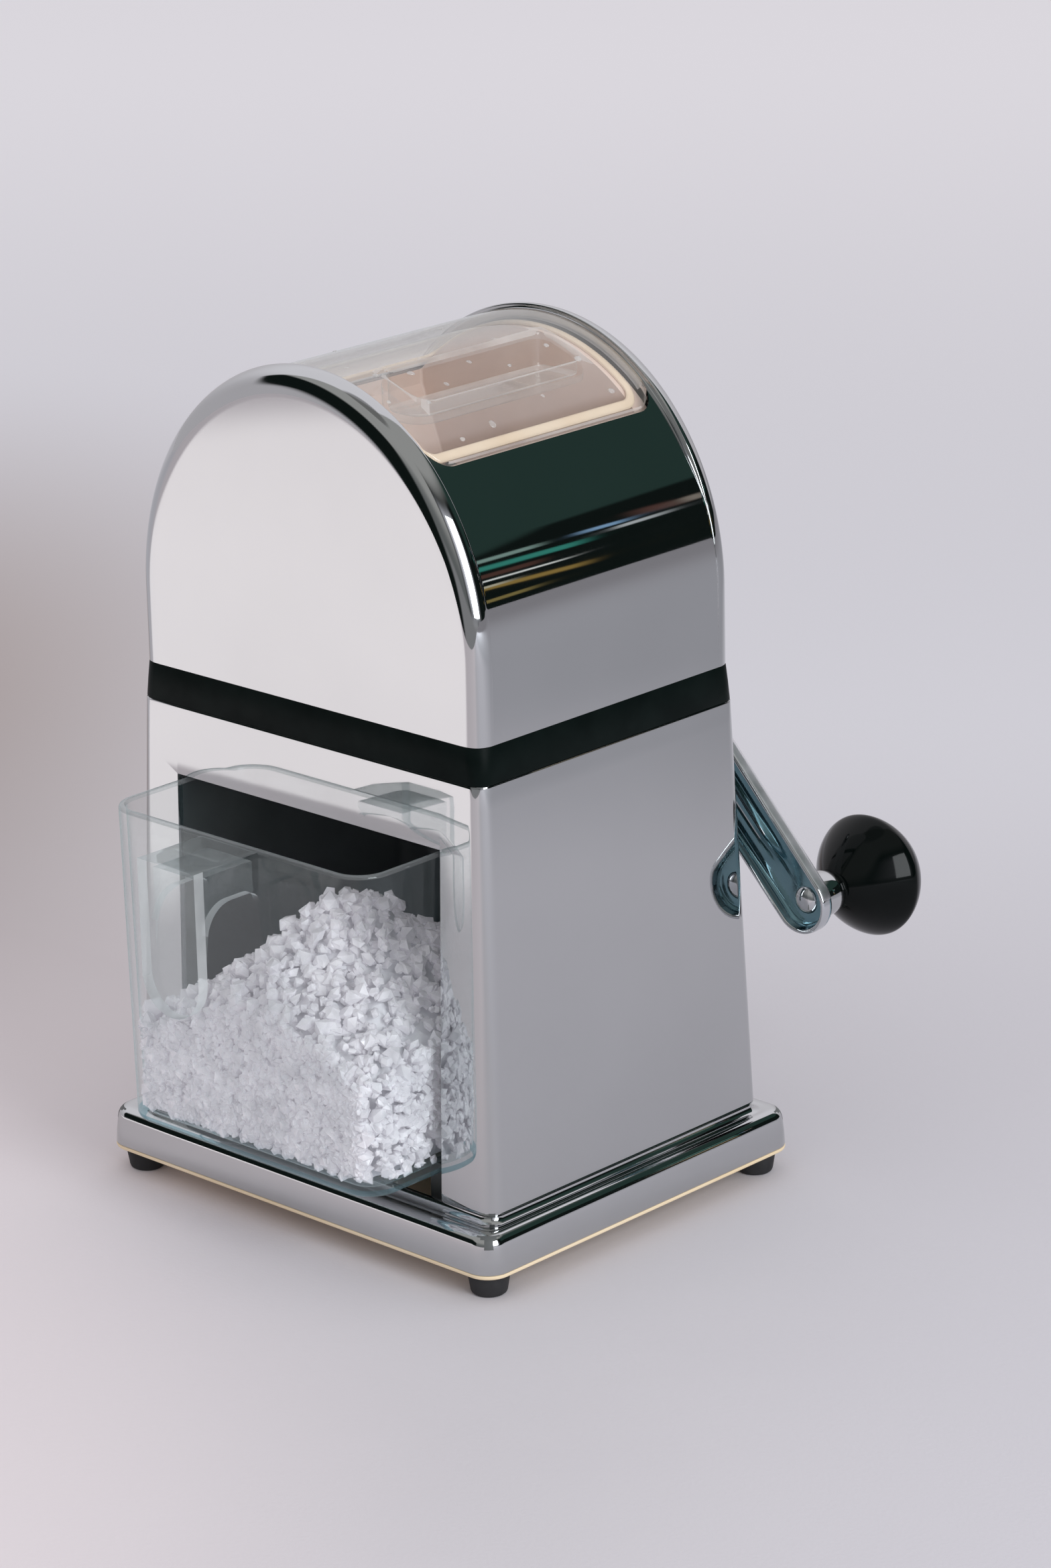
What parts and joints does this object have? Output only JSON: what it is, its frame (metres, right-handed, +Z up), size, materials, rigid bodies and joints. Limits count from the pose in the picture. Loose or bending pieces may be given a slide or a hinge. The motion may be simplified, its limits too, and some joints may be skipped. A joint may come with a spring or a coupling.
{
  "type": "ice shaver",
  "caption": "Hand-cranked tabletop ice shaver: polished tapered housing with a barrel top, clear hinged lid, rear crank with a black knob and a clear pull-out ice container.",
  "frame": {"origin": "centre of the whole object's plan box, on the worktop under the feet", "axes": "+Z up; -Y is the side the clear container pulls out of; the crank is at +Y; the crank's knob is towards +X at rest"},
  "size_m": [0.1845, 0.2254, 0.262],
  "materials": {
    "polished_shell": "mirror polished plating",
    "black_trim": "satin black moulded plastic",
    "cream_plastic": "cream moulded plastic",
    "beige_plastic": "warm beige moulded plastic",
    "foot_rubber": "black rubber",
    "zinc_steel": "plain plated steel",
    "blade_steel": "ground stainless steel",
    "clear_plastic": "clear moulded plastic with a faint blue green edge",
    "bush_brass": "turned",
    "bush_nylon": "natural white",
    "knob_black": "glossy black"
  },
  "bodies": {
    "housing": {"lower_housing": "polished_shell", "base_plate": "cream_plastic", "rubber_feet": "foot_rubber", "foot_screws": "zinc_steel", "drawer_runners": "black_trim", "trim_band": "black_trim", "mechanism_deck": "zinc_steel", "deck_screws": "zinc_steel", "case_screws": "zinc_steel", "frame_screws": "zinc_steel", "upper_housing": "polished_shell", "hopper": "beige_plastic", "window_gasket": "cream_plastic", "lid_hinge_rod": "blade_steel", "front_bearing_plate": "zinc_steel", "rear_bearing_plate": "zinc_steel", "comb_bars": "blade_steel", "comb_blades": "blade_steel", "front_bush": "bush_brass", "rear_bush": "bush_brass", "wall_bush": "polished_shell", "ice_chute": "black_trim"},
    "lid": {"lid": "clear_plastic"},
    "crank": {"rotor_shaft": "blade_steel", "rotor_blades": "blade_steel", "rotor_spacers": "zinc_steel", "crank_arm": "polished_shell", "thrust_washer": "bush_nylon", "crank_nut": "polished_shell", "knob_spindle": "blade_steel"},
    "knob": {"crank_knob": "knob_black", "knob_ferrule": "polished_shell"},
    "container": {"ice_container": "clear_plastic"}
  },
  "joints": [
    {"name": "crank_turn", "type": "hinge", "parent": "housing", "child": "crank", "pos_m": [-0.0111, -0.0011, 0.176], "axis": [0, 1, 0], "continuous": true},
    {"name": "knob_spin", "type": "hinge", "parent": "crank", "child": "knob", "pos_m": [0.07335, 0.0939, 0.0873], "axis": [0, 1, 0], "continuous": true},
    {"name": "lid_hinge", "type": "hinge", "parent": "housing", "child": "lid", "pos_m": [-0.0593, -0.0011, 0.2356], "axis": [0, -1, 0], "range_deg": [0, 110]},
    {"name": "container_slide", "type": "slide", "parent": "housing", "child": "container", "axis": [0, -1, 0], "range_m": [0, 0.1]}
  ]
}
